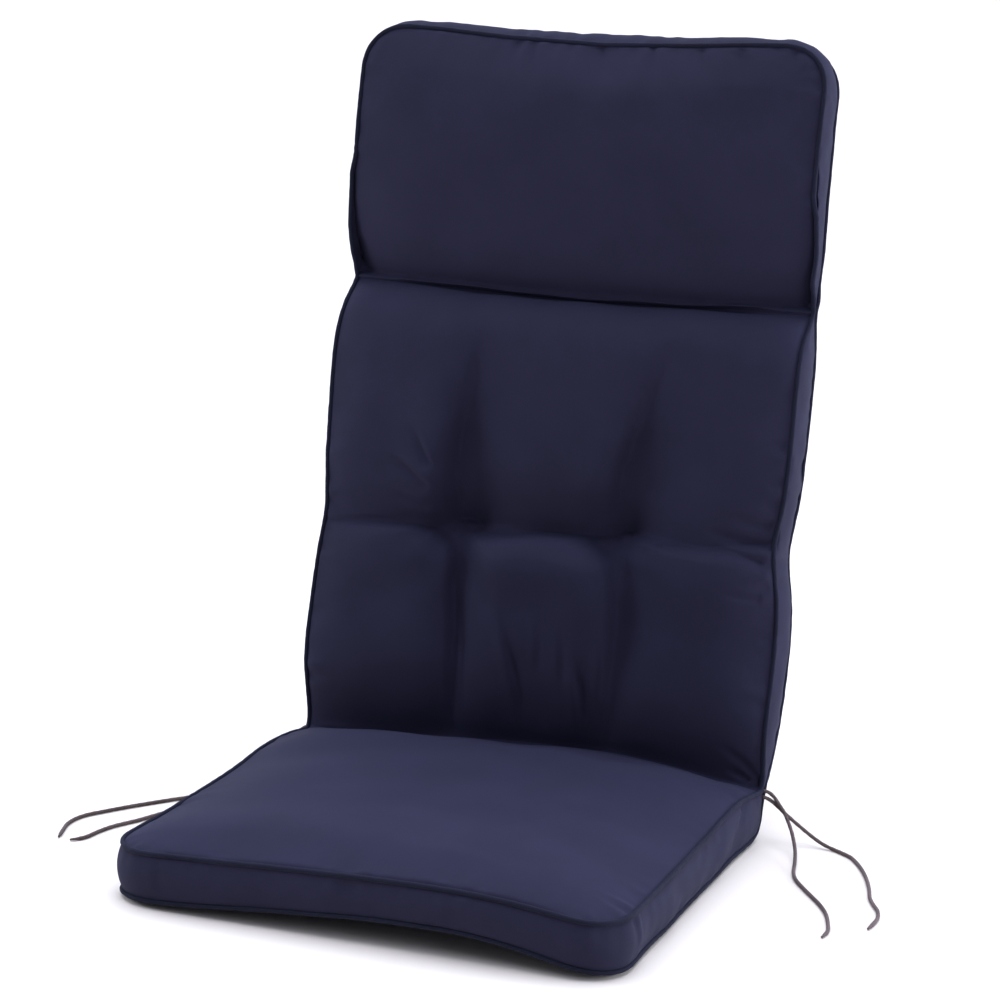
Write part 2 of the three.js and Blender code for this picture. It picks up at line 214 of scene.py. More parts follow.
def ease(value: np.ndarray, low: float, high: float) -> np.ndarray:
    """A smooth step from 0 at low to 1 at high."""
    share = np.clip((value - low) / (high - low), 0, 1)
    return share * share * (3 - 2 * share)


def rounded(before: np.ndarray, here: np.ndarray, after: np.ndarray, beyond: np.ndarray, steps: int) -> list:
    """Rounds the stretch from one knot of a line to the next.

    Args:
        before: The knot before the stretch.
        here: The knot that it starts at.
        after: The knot that it leads to.
        beyond: The knot behind that.
        steps: How many points are made.

    Returns:
        The points, the first of them at the start.
    """
    return [
        here
        + 0.5 * share * (after - before)
        + share**2 * (before - 2.5 * here + 2 * after - 0.5 * beyond)
        + share**3 * (1.5 * here - 0.5 * before - 1.5 * after + 0.5 * beyond)
        for share in np.linspace(0, 1, steps, endpoint=False)
    ]


def distances_along(points: np.ndarray) -> np.ndarray:
    """The distance of each point from the first, along the line through them."""
    return np.concatenate([[0], np.cumsum(np.linalg.norm(np.diff(points, axis=0), axis=1))])


def evenly(points: np.ndarray, along: np.ndarray, wanted: np.ndarray) -> np.ndarray:
    """Finds the places at some distances along a line.

    Args:
        points: The line's points, one row each.
        along: Their distances along it.
        wanted: The distances of the places.

    Returns:
        The places, one row each.
    """
    return np.stack([np.interp(wanted, along, points[:, axis]) for axis in range(3)], axis=1)


def tree_of(points: np.ndarray) -> KDTree:
    """Makes a search tree of points, numbered in their order."""
    tree = KDTree(len(points))
    for number, point in enumerate(points):
        tree.insert(point, number)
    tree.balance()
    return tree


def open_line(knots: np.ndarray, step: float) -> np.ndarray:
    """Rounds a line through points and divides it evenly.

    Args:
        knots: The points it goes through, in order.
        step: The distance between the new points.

    Returns:
        The new points, with the first and the last knot among them.
    """
    padded = np.vstack([2 * knots[0] - knots[1], knots, 2 * knots[-1] - knots[-2]])
    dense = []
    for stretch in zip(padded, padded[1:], padded[2:], padded[3:]):
        dense += rounded(*stretch, steps=12)
    dense = np.vstack([dense, knots[-1:]])
    along = distances_along(dense)
    return evenly(dense, along, np.linspace(0, along[-1], round(along[-1] / step) + 1))


class Unevenness:
    """Smooth random waves in space, between about -1 and 1."""

    def __init__(self, seed: int, wavelength: float, waves: int = 24) -> None:
        """Draws the waves.

        Args:
            seed: The seed, so that each run is the same.
            wavelength: The mean distance between crests.
            waves: How many waves are summed.
        """
        draw = np.random.default_rng(seed)
        ways = draw.normal(size=(waves, 3))
        ways /= np.linalg.norm(ways, axis=1, keepdims=True)
        lengths = wavelength * draw.uniform(0.7, 1.5, size=(waves, 1))
        self._ways = 2 * math.pi * ways / lengths
        self._phases = draw.uniform(0, 2 * math.pi, size=waves)
        self._scale = math.sqrt(2 / waves)

    def at(self, points: np.ndarray) -> np.ndarray:
        """The waves' height at each point."""
        return self._scale * np.sin(points @ self._ways.T + self._phases).sum(axis=1)


class ClosedLine:
    """A smooth closed line through points, such as a seam."""

    def __init__(self, knots: np.ndarray, step: float) -> None:
        """Rounds the line and divides it evenly.

        Args:
            knots: The points it goes through, in order.
            step: The distance between its own points.
        """
        before, after = np.roll(knots, 1, axis=0), np.roll(knots, -1, axis=0)
        stretches = rounded(before, knots, after, np.roll(knots, -2, axis=0), steps=8)
        dense = np.stack(stretches, axis=1).reshape(-1, 3)
        dense = np.vstack([dense, dense[:1]])
        along = distances_along(dense)
        count = round(along[-1] / step)
        self.points = evenly(dense, along, np.linspace(0, along[-1], count, endpoint=False))
        self._tree = tree_of(self.points)

    def nearest(self, points: np.ndarray) -> tuple[np.ndarray, np.ndarray]:
        """Finds the nearest place on the line.

        Args:
            points: Points in space, one row each.

        Returns:
            The distance of each point from the line, and the number of the nearest place on it.
        """
        found = [self._tree.find(point) for point in points]
        return np.array([row[2] for row in found]), np.array([row[1] for row in found])


def line_of_piping(node: str) -> ClosedLine:
    """Finds the middle line of a CAD node of piping.

    The node is a closed chain of six-sided rings, whose edges are as long as the piping's radius.

    Args:
        node: The node's name.

    Returns:
        The middle line.
    """
    piece = copy_of_node(node, "piping_line")
    points = points_of(piece)
    edges = np.array([edge.vertices[:] for edge in piece.data.edges])
    lengths = np.linalg.norm(points[edges[:, 0]] - points[edges[:, 1]], axis=1)
    in_ring = np.zeros(len(edges), dtype=bool)
    in_ring[np.argsort(np.abs(lengths - PIPING_RADIUS))[: len(points)]] = True
    ring_of = list(range(len(points)))

    def root(number: int) -> int:
        """The first vertex of a vertex's ring."""
        while ring_of[number] != number:
            number = ring_of[number]
        return number

    for first, second in edges[in_ring]:
        ring_of[root(int(first))] = root(int(second))
    roots = np.array([root(number) for number in range(len(points))])
    names, ring = np.unique(roots, return_inverse=True)
    centres = np.stack([np.bincount(ring, points[:, axis]) for axis in range(3)], axis=1)
    centres /= np.bincount(ring)[:, None]
    beside: dict[int, set[int]] = {number: set() for number in range(len(names))}
    for first, second in ring[edges[~in_ring]]:
        beside[first].add(int(second))
        beside[second].add(int(first))
    order = [0, min(beside[0])]
    while len(order) < len(names):
        order.append(next(ring for ring in beside[order[-1]] if ring != order[-2]))
    bpy.data.objects.remove(piece)
    return ClosedLine(centres[order], SEAM_STEP)


@dataclass
class Studio:
    """The camera, the pale floor and the soft lights."""

    eye: tuple[float, float, float] = (0.96787, -2.58869, 0.92329)
    azimuth: float = math.radians(20.236)
    elevation: float = math.radians(11.683)
    roll: float = math.radians(-1.996)
    focal_pixels: float = 2900
    floor_size: float = 60.0
    middle: tuple[float, float, float] = (0, 0, 0.4)
    brightest: tuple[float, float, float] = (-0.35, 0.92, 0.2)
    glow_ahead: float = 0.17
    daylight: tuple[float, float, float] = (0.9, 0.95, 1.14)
    glow_behind: float = 1.1
    glow_range: tuple[float, float] = (-0.6, 0.7)

    def add_camera(self) -> None:
        """Adds the camera at the photograph's angle and makes it the scene's camera."""
        data = bpy.data.cameras.new("photo_camera")
        data.sensor_width = 36
        data.lens = self.focal_pixels / PHOTO_PIXELS * data.sensor_width
        data.clip_end = 100
        camera = add_object("photo_camera", data)
        level = math.cos(self.elevation)
        backward = Vector(
            (math.sin(self.azimuth) * level, -math.cos(self.azimuth) * level, math.sin(self.elevation))
        )
        right = Vector((math.cos(self.azimuth), math.sin(self.azimuth), 0))
        turned = Matrix((right, backward.cross(right), backward)).transposed().to_4x4()
        camera.matrix_world = Matrix.Translation(self.eye) @ turned @ Matrix.Rotation(-self.roll, 4, "Z")
        bpy.context.scene.camera = camera

    def add_floor(self) -> None:
        """Adds the floor, which isn't part of the cushion."""
        bpy.ops.mesh.primitive_plane_add(size=self.floor_size, location=(0, 0, 0))
        floor = bpy.context.object
        floor.name = "studio_floor"
        floor.data.materials.append(FloorPaint().material())

    def add_light(self, kind: str, name: str, at: tuple[float, float, float], **settings: float) -> None:
        """Hangs a light at a place and points it at the middle of the cushion.

        Args:
            kind: The light's type, an area or the sky.
            name: Its name.
            at: Where it hangs.
            settings: Its energy, in watts or in watts for each square metre of floor, and its size.
        """
        data = bpy.data.lights.new(name, kind)
        data.color = self.daylight
        for setting, value in settings.items():
            setattr(data, setting, value)
        light = add_object(name, data)
        aim = Vector(self.middle) - Vector(at)
        light.matrix_world = Matrix.Translation(at) @ aim.to_track_quat("-Z", "Y").to_matrix().to_4x4()

    def add_surroundings(self) -> None:
        """Adds the white surroundings, which shine most from behind the cushion."""
        world = bpy.data.worlds.new("studio")
        world.use_nodes = True
        bpy.context.scene.world = world
        sketch = NodeSketch(world.node_tree)
        place = sketch.add("ShaderNodeTexCoord")
        toward = sketch.add("ShaderNodeVectorMath", operation="DOT_PRODUCT")
        toward.inputs[1].default_value = self.brightest
        sketch.link(place, "Generated", toward, 0)
        strength = sketch.add(
            "ShaderNodeMapRange",
            From_Min=self.glow_range[0],
            From_Max=self.glow_range[1],
            To_Min=self.glow_ahead,
            To_Max=self.glow_behind,
        )
        sketch.link(toward, "Value", strength, "Value")
        light_path = sketch.add("ShaderNodeLightPath")
        seen = sketch.add("ShaderNodeBackground", Color=(1, 1, 1, 1), Strength=1.0)
        lit = sketch.add("ShaderNodeBackground", Color=(*self.daylight, 1))
        sketch.link(strength, "Result", lit, "Strength")
        mix = sketch.add("ShaderNodeMixShader")
        sketch.link(light_path, "Is Camera Ray", mix, 0)
        sketch.link(lit, "Background", mix, 1)
        sketch.link(seen, "Background", mix, 2)
        output = sketch.add("ShaderNodeOutputWorld")
        sketch.link(mix, 0, output, "Surface")

    def add_lights(self) -> None:
        """Adds the soft lights and the white surroundings."""
        self.add_light("AREA", "right_softbox", at=(2.3, 0.6, 0.5), size=0.95, energy=32)
        self.add_light("AREA", "front_softbox", at=(2.15, -1.3, 1.1), size=0.7, energy=10)
        self.add_light("AREA", "left_softbox", at=(-2.2, -0.9, 1.2), size=0.7, energy=17)
        self.add_light("SUN", "sky_light", at=(-0.1, 0.35, 3), angle=math.radians(60), energy=2.9)
        self.add_surroundings()

    def dress(self) -> None:
        """Sets how the picture shows its light: plainly, with white as white."""
        bpy.context.scene.view_settings.view_transform = "Standard"
        self.add_floor()
        self.add_lights()


class NodeSketch:
    """Builds a node tree by adding nodes with their values and linking them."""

    def __init__(self, tree: bpy.types.NodeTree) -> None:
        """Empties the tree.

        Args:
            tree: The node tree to build.
        """
        self.tree = tree
        tree.nodes.clear()

    def add(self, kind: str, **values: object) -> bpy.types.Node:
        """Adds a node.

        Args:
            kind: The node's type.
            values: Values of sockets by name, and of the node's own settings in lower case.

        Returns:
            The new node.
        """
        node = self.tree.nodes.new(kind)
        for name, value in values.items():
            if name.islower():
                setattr(node, name, value)
        for name, value in values.items():
            if not name.islower():
                node.inputs[name.replace("_", " ")].default_value = value
        return node

    def link(self, start: bpy.types.Node, output: str | int, end: bpy.types.Node, entry: str | int) -> None:
        """Links an output of one node to an input of another."""
        self.tree.links.new(start.outputs[output], end.inputs[entry])

    def math(
        self, operation: str, first: object, second: object = 0.0, third: object = 0.0
    ) -> bpy.types.Node:
        """Adds a sum, with numbers or (node, output) pairs as its terms.

        Args:
            operation: What the node does.
            first: Its first term.
            second: Its second term.
            third: Its third term.

        Returns:
            The new node.
        """
        node = self.add("ShaderNodeMath", operation=operation)
        for number, term in enumerate((first, second, third)):
            if isinstance(term, tuple):
                self.link(term[0], term[1], node, number)
            else:
                node.inputs[number].default_value = term
        return node


def node_group(name: str, scales: tuple[str, ...], result: str) -> bpy.types.NodeTree:
    """Starts a shader node group that turns a place on a surface into a value.

    Args:
        name: The group's name.
        scales: The names of its inputs beside Vector, each a number.
        result: The name of its output, a number too.

    Returns:
        The new group.
    """
    group = bpy.data.node_groups.new(name, "ShaderNodeTree")
    group.interface.new_socket("Vector", in_out="INPUT", socket_type="NodeSocketVector")
    for scale in scales:
        group.interface.new_socket(scale, in_out="INPUT", socket_type="NodeSocketFloat")
    group.interface.new_socket(result, in_out="OUTPUT", socket_type="NodeSocketFloat")
    return group


def plain_weave() -> bpy.types.NodeTree:
    """Builds the height of a plain weave, threads over and under, once for all materials.

    Returns:
        The group, with inputs Vector and Threads, a number for each metre, and output Height.
    """
    name = "plain_weave"
    if name in bpy.data.node_groups:
        return bpy.data.node_groups[name]
    group = node_group(name, ("Threads",), "Height")
    sketch = NodeSketch(group)
    start = sketch.add("NodeGroupInput")
    parts = sketch.add("ShaderNodeSeparateXYZ")
    sketch.link(start, "Vector", parts, "Vector")
    turn = sketch.math("MULTIPLY", (start, "Threads"), math.pi)
    across = sketch.math("SINE", (sketch.math("MULTIPLY", (parts, "X"), (turn, 0)), 0))
    along = sketch.math("SINE", (sketch.math("MULTIPLY", (parts, "Y"), (turn, 0)), 0))
    over = sketch.math("MULTIPLY", (across, 0), (along, 0))
    height = sketch.math("MULTIPLY_ADD", (over, 0), 0.5, 0.5)
    end = sketch.add("NodeGroupOutput")
    sketch.link(height, 0, end, "Height")
    return group


def mottle() -> bpy.types.NodeTree:
    """Builds the slight unevenness of a dyed cloth, once for all materials.

    Returns:
        The group, with inputs Vector, Patches and Fibres, and output Shade about 0.5.
    """
    name = "mottle"
    if name in bpy.data.node_groups:
        return bpy.data.node_groups[name]
    group = node_group(name, ("Patches", "Fibres"), "Shade")
    sketch = NodeSketch(group)
    start = sketch.add("NodeGroupInput")
    patches = sketch.add("ShaderNodeTexNoise", Detail=3.0, Roughness=0.6)
    fibres = sketch.add("ShaderNodeTexNoise", Detail=2.0, Roughness=0.7)
    for node, scale in ((patches, "Patches"), (fibres, "Fibres")):
        sketch.link(start, "Vector", node, "Vector")
        sketch.link(start, scale, node, "Scale")
    both = sketch.math("ADD", (patches, "Fac"), (fibres, "Fac"))
    half = sketch.math("MULTIPLY", (both, 0), 0.5)
    end = sketch.add("NodeGroupOutput")
    sketch.link(half, 0, end, "Shade")
    return group


@dataclass(frozen=True)
class ClothFinish:
    """A plain woven, dyed cloth."""

    name: str
    dark: tuple[float, float, float]
    light: tuple[float, float, float]
    roughness: float = 0.85
    sheen: float = 0.03
    gloss: float = 0.16
    sheen_spread: float = 0.45
    sheen_tint: tuple[float, float, float] = (0.45, 0.5, 0.9)
    patches: float = 14.0
    fibres: float = 900.0
    shade_range: tuple[float, float] = (0.36, 0.64)
    threads: float = 1900.0
    thread_depth: float = 0.1 * MM
    thread_strength: float = 0.6
    ripple_scale: float = 90.0
    ripple_depth: float = 0.3 * MM
    ripple_strength: float = 0.5

    def material(self) -> bpy.types.Material:
        """Builds the cloth's material, which reads its weave's direction from the UV map.

        Returns:
            The material.
        """
        material = bpy.data.materials.new(self.name)
        material.use_nodes = True
        sketch = NodeSketch(material.node_tree)
        place = sketch.add("ShaderNodeTexCoord")
        weave = sketch.add("ShaderNodeGroup", node_tree=plain_weave(), Threads=self.threads)
        sketch.link(place, "UV", weave, "Vector")
        shade = sketch.add("ShaderNodeGroup", node_tree=mottle(), Patches=self.patches, Fibres=self.fibres)
        sketch.link(place, "Object", shade, "Vector")
        ramp = sketch.add("ShaderNodeMapRange", From_Min=self.shade_range[0], From_Max=self.shade_range[1])
        sketch.link(shade, "Shade", ramp, "Value")
        colour = sketch.add("ShaderNodeMix", data_type="RGBA", A=(*self.dark, 1), B=(*self.light, 1))
        sketch.link(ramp, "Result", colour, "Factor")
        ripple = sketch.add("ShaderNodeTexNoise", Scale=self.ripple_scale, Detail=4.0, Roughness=0.55)
        sketch.link(place, "Object", ripple, "Vector")
        wrinkled = sketch.add("ShaderNodeBump", Strength=self.ripple_strength, Distance=self.ripple_depth)
        sketch.link(ripple, "Fac", wrinkled, "Height")
        woven = sketch.add("ShaderNodeBump", Strength=self.thread_strength, Distance=self.thread_depth)
        sketch.link(weave, "Height", woven, "Height")
        sketch.link(wrinkled, "Normal", woven, "Normal")
        shader = sketch.add(
            "ShaderNodeBsdfPrincipled",
            Roughness=self.roughness,
            Specular_IOR_Level=self.gloss,
            Sheen_Weight=self.sheen,
            Sheen_Roughness=self.sheen_spread,
            Sheen_Tint=(*self.sheen_tint, 1),
        )
        sketch.link(colour, "Result", shader, "Base Color")
        sketch.link(woven, "Normal", shader, "Normal")
        output = sketch.add("ShaderNodeOutputMaterial")
        sketch.link(shader, "BSDF", output, "Surface")
        return material


@dataclass(frozen=True)
class FloorPaint:
    """The studio's plain pale floor."""

    shade: tuple[float, float, float] = (0.82, 0.76, 0.67)
    roughness: float = 0.9

    def material(self) -> bpy.types.Material:
        """Builds the floor's material.

        Returns:
            The material.
        """
        material = bpy.data.materials.new("floor_paint")
        material.use_nodes = True
        sketch = NodeSketch(material.node_tree)
        shader = sketch.add(
            "ShaderNodeBsdfPrincipled", Base_Color=(*self.shade, 1), Roughness=self.roughness
        )
        output = sketch.add("ShaderNodeOutputMaterial")
        sketch.link(shader, "BSDF", output, "Surface")
        return material


COVER_CLOTH = ClothFinish("cover_cloth", dark=(0.0146, 0.014, 0.0325), light=(0.019, 0.0182, 0.0425))
# The piping's cloth is the cover's cloth made darker: the darker colour is painted shade along the seams.
PIPING_CLOTH_PAINTED_SHADE = ClothFinish("piping_cloth_painted_shade", dark=(0.007, 0.0075, 0.018), light=(0.011, 0.012, 0.028))


def weave_map(piece: bpy.types.Object) -> None:
    """Gives a mesh a UV map in metres that lays the weave flat on each side of it.

    Args:
        piece: A mesh object.
    """
    mesh = piece.data
    layer = mesh.uv_layers.new(name="weave")
    corners = np.empty(len(mesh.loops), dtype=np.int32)
    mesh.loops.foreach_get("vertex_index", corners)
    points = points_of(piece)[corners]
    sizes = np.empty(len(mesh.polygons), dtype=np.int32)
    mesh.polygons.foreach_get("loop_total", sizes)
    ways = np.abs(np.repeat(vectors_of(mesh.polygons, "normal"), sizes, axis=0))
    level, upright = points[:, [0, 1]], points[:, [0, 2]]
    sideways = points[:, [1, 2]]
    flat = np.where((ways[:, 2] > ways[:, 1])[:, None], level, upright)
    flat = np.where((ways[:, 0] > SIDEWAYS)[:, None], sideways, flat)
    layer.data.foreach_set("uv", flat.astype(np.float32).ravel())


def tube_faces(rings: int, sides: int) -> list[list[int]]:
    """Lists the faces of a tube of rings of points, with one more point to close each end.

    Args:
        rings: How many rings it has.
        sides: How many points are in a ring.

    Returns:
        The vertex numbers of each face.
    """
    faces = []
    start, end, last = rings * sides, rings * sides + 1, (rings - 1) * sides
    for side in range(sides):
        after = (side + 1) % sides
        for near in range(0, last, sides):
            far = near + sides
            faces.append([near + side, near + after, far + after, far + side])
        faces.append([start, after, side])
        faces.append([end, last + side, last + after])
    return faces


@dataclass
class TieEnd:
    """A loose end of braided tie cord."""

    name: str
    route: list[tuple[float, float, float]]
    length: float
    diameter: float = 3.8 * MM
    step: float = 0.8 * MM
    sides: int = 16
    tip_share: float = 0.62
    taper: float = 12 * MM
    strands: int = 4
    braid_pitch: float = 9 * MM
    braid_relief: float = 0.22 * MM
    braid_middle: float = 0.8
    clearance: float = 0.05 * MM
    bare_tip: tuple[float, float] = (2 * MM, 10 * MM)

    def _rings(self, path: np.ndarray) -> np.ndarray:
        """Works out the braided surface, which ends in a sealed and tapered tip.

        Args:
            path: The cord's middle line, one row for each point.

        Returns:
            A ring of points round each point of the line.
        """
        along = distances_along(path)[:, None]
        left = along[-1] - along
        ways = np.gradient(path, axis=0)
        ways /= np.linalg.norm(ways, axis=1, keepdims=True)
        aside = np.cross(ways, (0, 0, 1))
        aside /= np.linalg.norm(aside, axis=1, keepdims=True)
        up = np.cross(aside, ways)
        angles = np.arange(self.sides) * 2 * math.pi / self.sides
        turns = along / self.braid_pitch * 2 * math.pi
        braid = np.maximum(np.sin(self.strands * angles + turns), np.sin(self.strands * angles - turns))
        relief = self.braid_relief * (braid - self.braid_middle) * ease(left, *self.bare_tip)
        radius = self.diameter / 2 * (self.tip_share + (1 - self.tip_share) * ease(left, 0, self.taper))
        reach = (radius + relief)[:, :, None]
        rings = (
            path[:, None, :]
            + reach * np.cos(angles)[None, :, None] * aside[:, None, :]
            + reach * np.sin(angles)[None, :, None] * up[:, None, :]
        )
        rings[:, :, 2] = np.maximum(rings[:, :, 2], self.clearance)
        return rings

    def build(self) -> bpy.types.Object:
        """Returns:
            The piece.
        """
        path = open_line(np.array(self.route), self.step)
        beyond = path[-1:] + (path[-1:] - path[-2:-1])
        points = np.vstack([self._rings(path).reshape(-1, 3), path[:1], beyond])
        faces = tube_faces(len(path), self.sides)
        piece = new_piece(self.name, points, faces)
        piece.data.materials.append(BRAID.material())
        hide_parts(self.name.replace("_cord", ""))
        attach(piece, BODY)
        return piece


@dataclass(frozen=True)
class Fold:
    """A line on the cover where the cloth is drawn in, with the cloth on its left swelling over it.

    Places are in millimetres on the panel's axes, and sizes are in millimetres.
    """

    panel: Panel
    line: tuple[tuple[float, float], ...]
    depth: float
    left: float
    right: float
    swell: float = 0.0
    shoulder: float = 30.0
    reach: float = 90.0
    fade_in: float = 0.3
    fade_out: float = 0.3
    spared: float = 0.0
    crisp_within: float = 4.2
    crisp_reach: float = 14.0
    step: float = 1.5

    def lift(self, points: np.ndarray) -> tuple[np.ndarray, np.ndarray]:
        """Works out how far the fold lifts the cloth.

        Args:
            points: Places on the cover in metres, one row each.

        Returns:
            The lift in metres, which is negative where the cloth is drawn in, and how crisp it is there,
            from 0 to 1.
        """
        flat = points[:, self.panel.axes]
        knots = np.array(self.line) * MM
        level = open_line(np.column_stack([knots, np.zeros(len(knots))]), self.step * MM)
        line = level[:, :2]
        reach = max(self.reach if self.swell else 0, 3 * self.left, 3 * self.right) * MM
        near = ((flat > line.min(axis=0) - reach) & (flat < line.max(axis=0) + reach)).all(axis=1)
        numbers = np.flatnonzero(near)
        lift, crisp = np.zeros(len(points)), np.zeros(len(points))
        if len(numbers) == 0:
            return lift, crisp
        tree = tree_of(level)
        found = np.array([tree.find((place[0], place[1], 0))[1] for place in flat[numbers]])
        ways = np.gradient(line, axis=0)[found]
        ways /= np.linalg.norm(ways, axis=1, keepdims=True)
        off = flat[numbers] - line[found]
        distance = np.linalg.norm(off, axis=1) / MM
        on_left = off[:, 1] * ways[:, 0] - off[:, 0] * ways[:, 1] > 0
        share = found / (len(line) - 1)
        width = np.where(on_left, self.left, self.right)
        rise = 1 - np.clip(distance / self.shoulder, 0, 1)
        swell = np.sqrt(1 - rise**2) * (1 - ease(distance, self.shoulder, self.reach)) * on_left
        ends = ease(share, 0, self.fade_in) * ease(1 - share, 0, self.fade_out)
        if self.spared:
            ends *= 1 - bell(distance, self.spared)
        lift[numbers] = (self.swell * swell - self.depth * bell(distance, width)) * ends * MM
        crisp[numbers] = 1 - ease(distance, self.crisp_within, self.crisp_reach)
        return lift, crisp


@dataclass(frozen=True)
class Tuft:
    """A place on the back where a thread through the pad draws the cloth in."""

    x: float
    z: float
    depth: float = 20.0
    width: float = 23.0
    pleats: int = 9
    pleat_height: float = 1.8
    pleat_unevenness: float = 0.8

    def lift(self, points: np.ndarray) -> np.ndarray:
        """Works out how far the tuft lifts the cloth, which is negative for the pit itself.

        Args:
            points: Places on the cover in metres, one row each.

        Returns:
            The lift in metres.
        """
        off = points[:, Panel.BACK.axes] / MM - np.array((self.x, self.z))
        distance = np.linalg.norm(off, axis=1)
        angle = np.arctan2(off[:, 1], off[:, 0])
        uneven = self.pleat_unevenness * np.sin(2 * angle + self.x)
        pleats = np.cos(self.pleats * angle + uneven) * (distance / self.width)
        pleats *= bell(distance, 2 * self.width)
        return (self.pleat_height * pleats - self.depth * bell(distance, self.width)) * MM


TUFTS = (Tuft(-101, 294), Tuft(72, 300))

LOBES = (
    Fold(
        Panel.BACK,
        (
            (-79, 55), (-81, 89), (-85, 169), (-90, 220), (-90, 248), (-95, 264), (-108, 275),
            (-124, 281), (-152, 283), (-212, 277), (-262, 272),
        ),
        depth=12, left=3.5, right=38, swell=9, shoulder=20, reach=90, fade_in=0.4, fade_out=0.3,
    ),
    Fold(
        Panel.BACK,
        (
            (92, 70), (90, 129), (88, 189), (87, 230), (83, 256), (73, 274), (58, 285), (41, 290),
            (4, 289), (-39, 283), (-70, 276), (-86, 262),
        ),
        depth=14, left=3.5, right=38, swell=9, shoulder=22, reach=80, fade_in=0.4, fade_out=0.12,
    ),
    Fold(
        Panel.BACK,
        ((265, 303), (250, 303), (213, 299), (173, 293), (132, 288), (111, 279), (98, 262)),
        depth=3, left=5, right=22, swell=5, shoulder=36, reach=100, fade_in=0.1, fade_out=0.4,
    ),
    Fold(
        Panel.BACK,
        ((88, 292), (41, 291), (4, 290), (-39, 284), (-92, 280)),
        depth=19, left=3.5, right=44, fade_in=0.12, fade_out=0.12,
    ),
)
VALLEYS = (
    Fold(
        Panel.BACK,
        ((-99, 284), (-100, 334), (-98, 365), (-94, 396), (-88, 427), (-71, 515)),
        depth=30, left=6, right=76, swell=6, shoulder=14, reach=60, fade_in=0.05, fade_out=0.75,
    ),
    Fold(
        Panel.BACK,
        ((74, 290), (80, 352), (88, 382), (97, 413), (107, 443), (122, 484), (136, 530)),
        depth=34, left=6, right=90, swell=6, shoulder=14, reach=60, fade_in=0.05, fade_out=0.8,
    ),
)
HEAD_UNDERSIDE = Fold(
    Panel.BACK,
    ((-275, 527), (-150, 524), (0, 521), (150, 524), (275, 527)),
    depth=34, left=95, right=3, fade_in=0.02, fade_out=0.02, spared=7,
)


def tuft_crease(*line: tuple[float, float], **shape: float) -> Fold:
    """A crease of the cloth that runs in to the left tuft."""
    return Fold(Panel.BACK, line, **shape, left=4, shoulder=4, fade_in=0.6, fade_out=0.15)


def drape(*line: tuple[float, float], **shape: float) -> Fold:
    """A fold of the cloth in the middle column, from the seat upwards."""
    return Fold(Panel.BACK, line, **shape, left=3, fade_out=0.5)


def side_pinch(*line: tuple[float, float], depth: float, fade_out: float) -> Fold:
    """A short pinch in the back that deepens towards its right seam."""
    return Fold(Panel.BACK, line, depth, left=4, right=4, fade_in=0.5, fade_out=fade_out)


def top_pucker(*line: tuple[float, float], depth: float, width: float) -> Fold:
    """A pucker that runs down from the head's top seam."""
    return Fold(Panel.BACK, line, depth, left=width, right=width, fade_in=0.1, fade_out=0.8)


def boxing_crease(*line: tuple[float, float], depth: float) -> Fold:
    """A slanting crease in the seat's right boxing."""
    return Fold(Panel.SIDE, line, depth, left=4, right=4)


WRINKLES = (
    tuft_crease((-172, 356), (-146, 344), (-119, 324), depth=5, right=8, swell=1.8, reach=12),
    tuft_crease((-148, 392), (-133, 370), (-118, 344), depth=5, right=8, swell=1.8, reach=12),
    tuft_crease((-172, 318), (-146, 311), (-120, 304), depth=3.6, right=6, swell=1.2, reach=10),
    drape(
        (-5, 84), (-7, 128), (-18, 169), (-32, 215),
        depth=5.3, right=10, swell=3.5, shoulder=5, reach=18, fade_in=0.6,
    ),
    drape((15, 140), (15, 172), (13, 210), depth=2, right=6, swell=1.2, shoulder=4, reach=12, fade_in=0.5),
    drape((41, 130), (41, 170), (37, 208), depth=2.5, right=6, swell=1.2, shoulder=4, reach=12, fade_in=0.5),
    drape((63, 86), (61, 137), (53, 182), depth=5.3, right=9, swell=3.2, shoulder=5, reach=16, fade_in=0.6),
    drape(
        (79, 90), (76, 127), (77, 174), (80, 208),
        depth=3.6, right=6, swell=2, shoulder=4, reach=12, fade_in=0.6,
    ),
    drape(
        (-68, 90), (-69, 113), (-73, 161), (-80, 211),
        depth=3.1, right=5, swell=1.8, shoulder=3, reach=9, fade_in=0.6,
    ),
    side_pinch((170, 312), (212, 304), (250, 297), depth=4.2, fade_out=0.05),
    side_pinch((170, 293), (209, 289), (240, 280), depth=3.6, fade_out=0.1),
    side_pinch((190, 328), (212, 324), (244, 318), depth=2.5, fade_out=0.1),
    side_pinch((195, 252), (216, 248), (240, 246), depth=2.1, fade_out=0.1),
    side_pinch((205, 99), (235, 77), (253, 55), depth=4.2, fade_out=0.05),
    side_pinch((215, 74), (241, 59), depth=3.4, fade_out=0.05),
    top_pucker((-63, 784), (-52, 755), (-42, 734), depth=2.5, width=5),
    top_pucker((12, 785), (20, 758), (28, 738), depth=2.5, width=5),
    top_pucker((66, 785), (75, 756), (81, 736), depth=3.4, width=4),
    top_pucker((118, 786), (127, 757), (133, 734), depth=2.8, width=4),
    top_pucker((160, 787), (167, 762), (173, 741), depth=2.8, width=4),
    boxing_crease((95, 62), (78, 46), (60, 33), depth=3.4),
    boxing_crease((17, 61), (5, 46), (-8, 32), depth=2.8),
    boxing_crease((-43, 53), (-58, 42), (-73, 32), depth=2.2),
)


